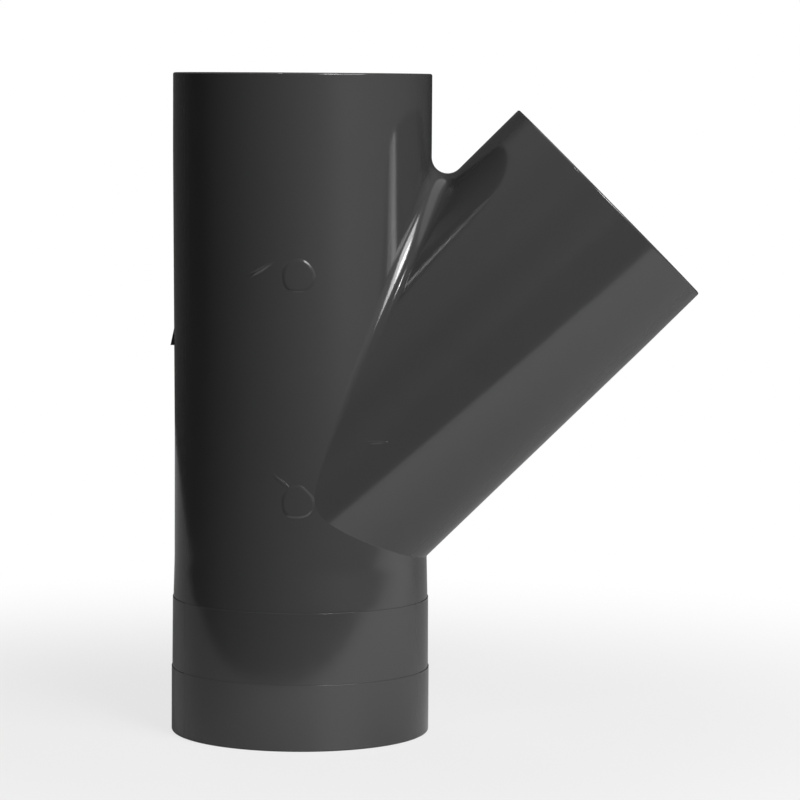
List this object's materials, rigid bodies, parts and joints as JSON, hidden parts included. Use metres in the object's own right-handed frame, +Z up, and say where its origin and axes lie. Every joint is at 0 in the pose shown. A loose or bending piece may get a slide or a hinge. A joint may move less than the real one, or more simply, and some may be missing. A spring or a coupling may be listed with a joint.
{
  "type": "lateral wye pipe fitting",
  "caption": "Black moulded lateral wye: a straight pipe run and a branch of the same diameter leaving it at 45 degrees, with plain spigot ends and a rounded web in the crotch.",
  "frame": {"origin": "centre of the lower end face of the run, which the fitting stands on", "axes": "+Z up the run towards its upper end; the branch leans towards +X in the XZ plane; +Y completes the right-handed frame, and the side shown in the picture faces -Y"},
  "size_m": [0.2249, 0.1106, 0.2815],
  "materials": {
    "body": "satin as moulded"
  },
  "bodies": {
    "root": {"wye_body": "body"}
  },
  "joints": []
}
